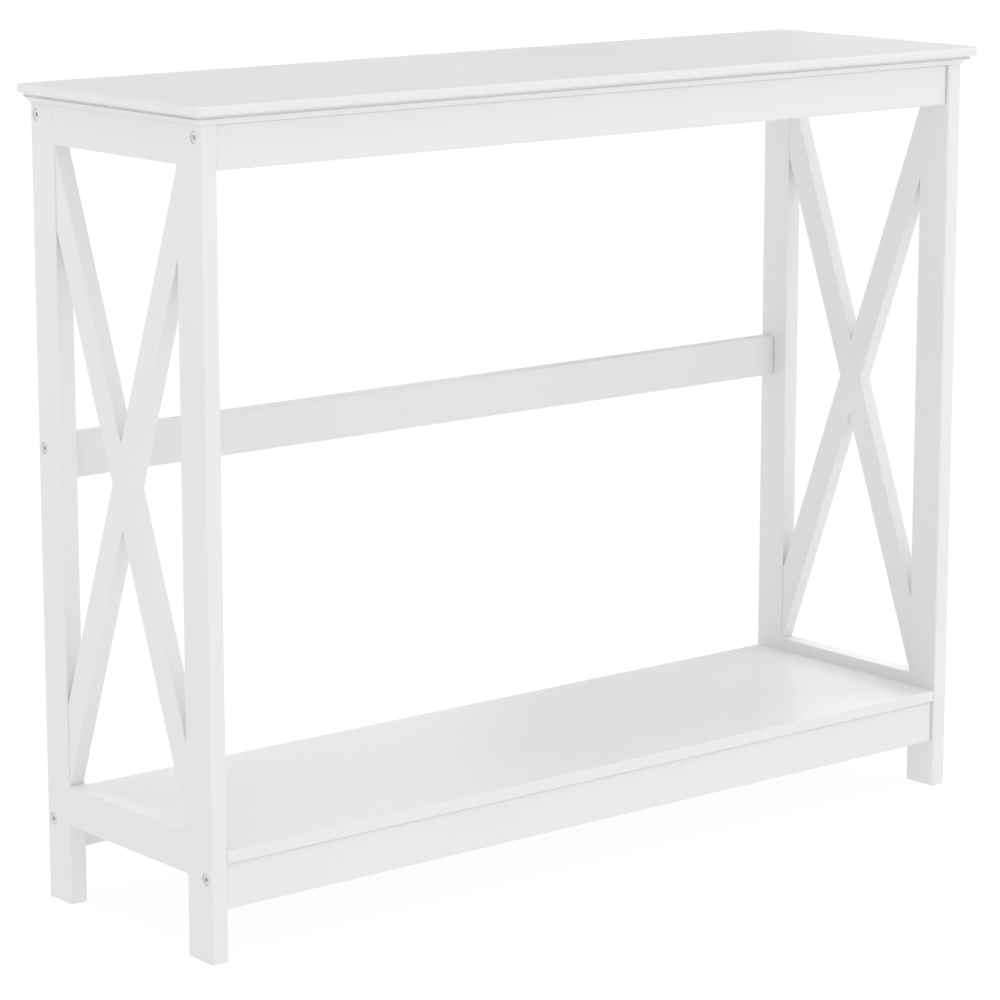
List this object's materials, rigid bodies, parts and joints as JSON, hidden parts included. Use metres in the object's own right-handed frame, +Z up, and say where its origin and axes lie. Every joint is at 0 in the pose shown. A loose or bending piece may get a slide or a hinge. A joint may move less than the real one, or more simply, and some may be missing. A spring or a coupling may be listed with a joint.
{
  "type": "console table",
  "caption": "Narrow console table with a moulded top on X-braced end frames, joined by aprons, a back stretcher and a low shelf, lacquered white.",
  "frame": {"origin": "on the floor under the middle of the tabletop's outline", "axes": "+X along the table to the right as seen from the front, +Y towards the back, +Z up"},
  "size_m": [1, 0.3, 0.8],
  "materials": {
    "white_lacquer": "satin sprayed lacquer",
    "bare_beech": "bare",
    "zinc_plated_steel": "satin zinc plating"
  },
  "bodies": {
    "root": {"tabletop": "white_lacquer", "front_top_apron": "white_lacquer", "back_top_apron": "white_lacquer", "front_low_apron": "white_lacquer", "back_low_apron": "white_lacquer", "back_stretcher": "white_lacquer", "low_shelf": "white_lacquer", "left_front_leg": "white_lacquer", "left_back_leg": "white_lacquer", "left_top_rail": "white_lacquer", "left_low_rail": "white_lacquer", "left_brace_high_at_back": "white_lacquer", "left_brace_high_at_front": "white_lacquer", "right_front_leg": "white_lacquer", "right_back_leg": "white_lacquer", "right_top_rail": "white_lacquer", "right_low_rail": "white_lacquer", "right_brace_high_at_back": "white_lacquer", "right_brace_high_at_front": "white_lacquer", "left_rail_dowels": "bare_beech", "left_brace_dowels": "bare_beech", "left_locating_dowels": "bare_beech", "right_rail_dowels": "bare_beech", "right_brace_dowels": "bare_beech", "right_locating_dowels": "bare_beech", "left_end_bolts": "zinc_plated_steel", "left_barrel_nuts": "zinc_plated_steel", "right_end_bolts": "zinc_plated_steel", "right_barrel_nuts": "zinc_plated_steel", "top_screws": "zinc_plated_steel", "shelf_screws": "zinc_plated_steel"}
  },
  "joints": []
}
